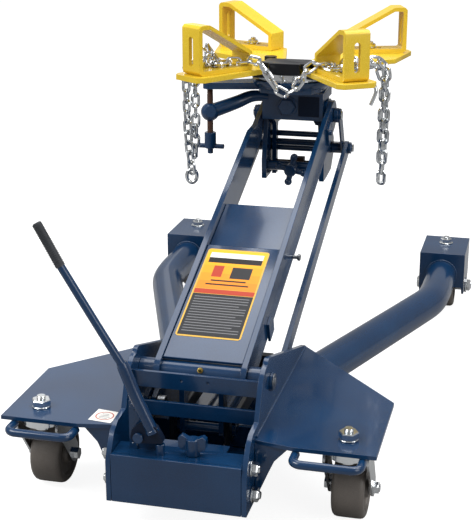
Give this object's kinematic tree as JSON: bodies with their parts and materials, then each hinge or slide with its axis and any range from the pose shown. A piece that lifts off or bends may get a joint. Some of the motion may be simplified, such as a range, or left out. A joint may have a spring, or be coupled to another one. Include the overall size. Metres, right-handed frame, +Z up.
{
  "type": "hydraulic transmission jack",
  "caption": "Low-profile hydraulic jack with a lift arm, tilting head, adjustable saddle arms, outrigger legs and casters.",
  "frame": {"origin": "middle of the bounding box at floor level", "axes": "+Z up, +Y from the handle end to the front wheels, +X to the right seen from the handle end"},
  "size_m": [0.704, 1.206, 0.6753],
  "materials": {
    "navy_paint": "gloss enamel",
    "yellow_paint": "gloss enamel",
    "black_paint": "satin",
    "zinc": "bright zinc plate",
    "steel": "turned",
    "brown_steel": "oiled thread, light rust",
    "wheel_resin": "moulded"
  },
  "bodies": {
    "frame": {"end_plate": "navy_paint", "side_plate_right": "navy_paint", "side_plate_left": "navy_paint", "wing_right": "navy_paint", "wing_left": "navy_paint", "cross_member_upper": "navy_paint", "cross_member_lower": "navy_paint", "leg_right": "navy_paint", "leg_left": "navy_paint", "housing_right": "navy_paint", "housing_left": "navy_paint", "loop_handle_right": "navy_paint", "loop_handle_left": "navy_paint", "pivot_shaft": "steel", "bar_stud_right": "steel", "bar_stud_left": "steel", "caster_stem_right": "zinc", "caster_stem_left": "zinc", "front_axle_right": "zinc", "front_axle_left": "zinc", "cylinder": "navy_paint", "pump_block": "navy_paint"},
    "ram_body": {"ram": "steel"},
    "plunger": {"pump_plunger": "steel"},
    "handle": {"pump_handle": "navy_paint"},
    "knob": {"release_knob": "navy_paint"},
    "arm": {"arm_plate_right": "navy_paint", "arm_plate_left": "navy_paint", "arm_cover": "navy_paint", "pivot_tube": "navy_paint"},
    "bars": {"levelling_bar_right": "navy_paint", "levelling_bar_left": "navy_paint"},
    "head": {"yoke_right": "navy_paint", "yoke_left": "navy_paint", "head_pin": "navy_paint", "bar_rod": "navy_paint", "cross_rod": "navy_paint", "screw_trunnion": "navy_paint"},
    "star": {"star_screw": "navy_paint"},
    "nut": {"tilt_nut": "brown_steel"},
    "tilt": {"tilt_base": "navy_paint"},
    "tee": {"tee_screw": "brown_steel"},
    "table": {"tilt_table": "navy_paint", "saddle_plate": "black_paint"},
    "arm_front_right": {"saddle_arm_front_right": "yellow_paint", "chain_right": "zinc"},
    "arm_rear_right": {"saddle_arm_rear_right": "yellow_paint"},
    "slider_front_right": {"bracket_front_right": "yellow_paint"},
    "slider_rear_right": {"bracket_rear_right": "yellow_paint"},
    "swivel_right": {"caster_fork_right": "zinc"},
    "rear_roller_right": {"caster_wheel_right": "wheel_resin"},
    "front_roller_right": {"front_wheel_right": "wheel_resin"},
    "arm_front_left": {"saddle_arm_front_left": "yellow_paint", "chain_left": "zinc"},
    "arm_rear_left": {"saddle_arm_rear_left": "yellow_paint"},
    "slider_front_left": {"bracket_front_left": "yellow_paint"},
    "slider_rear_left": {"bracket_rear_left": "yellow_paint"},
    "swivel_left": {"caster_fork_left": "zinc"},
    "rear_roller_left": {"caster_wheel_left": "wheel_resin"},
    "front_roller_left": {"front_wheel_left": "wheel_resin"}
  },
  "joints": [
    {"name": "lift", "type": "hinge", "parent": "frame", "child": "arm", "pos_m": [0, -0.4435, 0.1975], "axis": [1, 0, 0], "range_deg": [-25.2, 26.8]},
    {"name": "ram_travel", "type": "slide", "parent": "frame", "child": "ram_body", "axis": [0, 1, 0], "range_m": [-0.04, 0.0415]},
    {"name": "bar_swing", "type": "hinge", "parent": "frame", "child": "bars", "pos_m": [0, -0.3985, 0.1215], "axis": [1, 0, 0], "range_deg": [-25.4, 27]},
    {"name": "head_level", "type": "hinge", "parent": "arm", "child": "head", "pos_m": [0, 0.28427, 0.4725], "axis": [1, 0, 0], "range_deg": [-27, 25.4]},
    {"name": "tilt_fore_aft", "type": "hinge", "parent": "head", "child": "tilt", "pos_m": [0, 0.28427, 0.4725], "axis": [1, 0, 0], "range_deg": [-5, 5]},
    {"name": "tilt_nut_travel", "type": "slide", "parent": "head", "child": "nut", "axis": [0, 1, 0], "range_m": [-0.0095, 0.0095]},
    {"name": "star_spin", "type": "hinge", "parent": "head", "child": "star", "pos_m": [0, 0.223, 0.37], "axis": [0, 1, 0], "continuous": true},
    {"name": "tilt_side", "type": "hinge", "parent": "tilt", "child": "table", "pos_m": [-0.01, 0.282, 0.498], "axis": [0, 1, 0], "range_deg": [-6, 6]},
    {"name": "tee_travel", "type": "slide", "parent": "tilt", "child": "tee", "axis": [0, 0, 1], "range_m": [-0.0175, 0.0175]},
    {"name": "arm_front_right_swing", "type": "hinge", "parent": "table", "child": "arm_front_right", "pos_m": [0.052, 0.183, 0.578], "axis": [0, 0, 1], "range_deg": [-8, 8]},
    {"name": "arm_rear_right_swing", "type": "hinge", "parent": "table", "child": "arm_rear_right", "pos_m": [0.052, 0.259, 0.578], "axis": [0, 0, 1], "range_deg": [-8, 8]},
    {"name": "slide_front_right", "type": "slide", "parent": "arm_front_right", "child": "slider_front_right", "axis": [0.5736, -0.8192, 0], "range_m": [-0.012, 0.012]},
    {"name": "slide_rear_right", "type": "slide", "parent": "arm_rear_right", "child": "slider_rear_right", "axis": [0.9483, 0.3173, 0], "range_m": [-0.012, 0.012]},
    {"name": "caster_swivel_right", "type": "hinge", "parent": "frame", "child": "swivel_right", "pos_m": [0.244, -0.516, 0.128], "axis": [0, 0, 1], "continuous": true},
    {"name": "caster_spin_right", "type": "hinge", "parent": "swivel_right", "child": "rear_roller_right", "pos_m": [0.244, -0.47, 0.05], "axis": [1, 0, 0], "continuous": true},
    {"name": "front_spin_right", "type": "hinge", "parent": "frame", "child": "front_roller_right", "pos_m": [0.29, 0.535, 0.05], "axis": [1, 0, 0], "continuous": true},
    {"name": "arm_front_left_swing", "type": "hinge", "parent": "table", "child": "arm_front_left", "pos_m": [-0.052, 0.183, 0.578], "axis": [0, 0, 1], "range_deg": [-8, 8]},
    {"name": "arm_rear_left_swing", "type": "hinge", "parent": "table", "child": "arm_rear_left", "pos_m": [-0.052, 0.259, 0.578], "axis": [0, 0, 1], "range_deg": [-8, 8]},
    {"name": "slide_front_left", "type": "slide", "parent": "arm_front_left", "child": "slider_front_left", "axis": [-0.5736, -0.8192, 0], "range_m": [-0.012, 0.012]},
    {"name": "slide_rear_left", "type": "slide", "parent": "arm_rear_left", "child": "slider_rear_left", "axis": [-0.9483, 0.3173, 0], "range_m": [-0.012, 0.012]},
    {"name": "caster_swivel_left", "type": "hinge", "parent": "frame", "child": "swivel_left", "pos_m": [-0.244, -0.516, 0.128], "axis": [0, 0, 1], "continuous": true},
    {"name": "caster_spin_left", "type": "hinge", "parent": "swivel_left", "child": "rear_roller_left", "pos_m": [-0.244, -0.47, 0.05], "axis": [1, 0, 0], "continuous": true},
    {"name": "front_spin_left", "type": "hinge", "parent": "frame", "child": "front_roller_left", "pos_m": [-0.29, 0.535, 0.05], "axis": [1, 0, 0], "continuous": true},
    {"name": "pump_stroke", "type": "hinge", "parent": "frame", "child": "handle", "pos_m": [-0.06, -0.583, 0.15], "axis": [0, 1, 0], "range_deg": [-12, 25]},
    {"name": "plunger_travel", "type": "slide", "parent": "frame", "child": "plunger", "axis": [0, 0, 1], "range_m": [-0.0145, 0.0072]},
    {"name": "release_turn", "type": "hinge", "parent": "frame", "child": "knob", "pos_m": [0.0195, -0.573, 0.14], "axis": [0, 0, 1], "range_deg": [-90, 90]}
  ],
  "couplings": [
    {"joint": "ram_travel", "follows": "lift", "m_per_rad": 0.0876},
    {"joint": "bar_swing", "follows": "lift", "ratio": 1},
    {"joint": "head_level", "follows": "lift", "ratio": -1},
    {"joint": "tilt_nut_travel", "follows": "tilt_fore_aft", "m_per_rad": 0.1022},
    {"joint": "tee_travel", "follows": "tilt_side", "m_per_rad": 0.148},
    {"joint": "plunger_travel", "follows": "pump_stroke", "m_per_rad": -0.032}
  ]
}
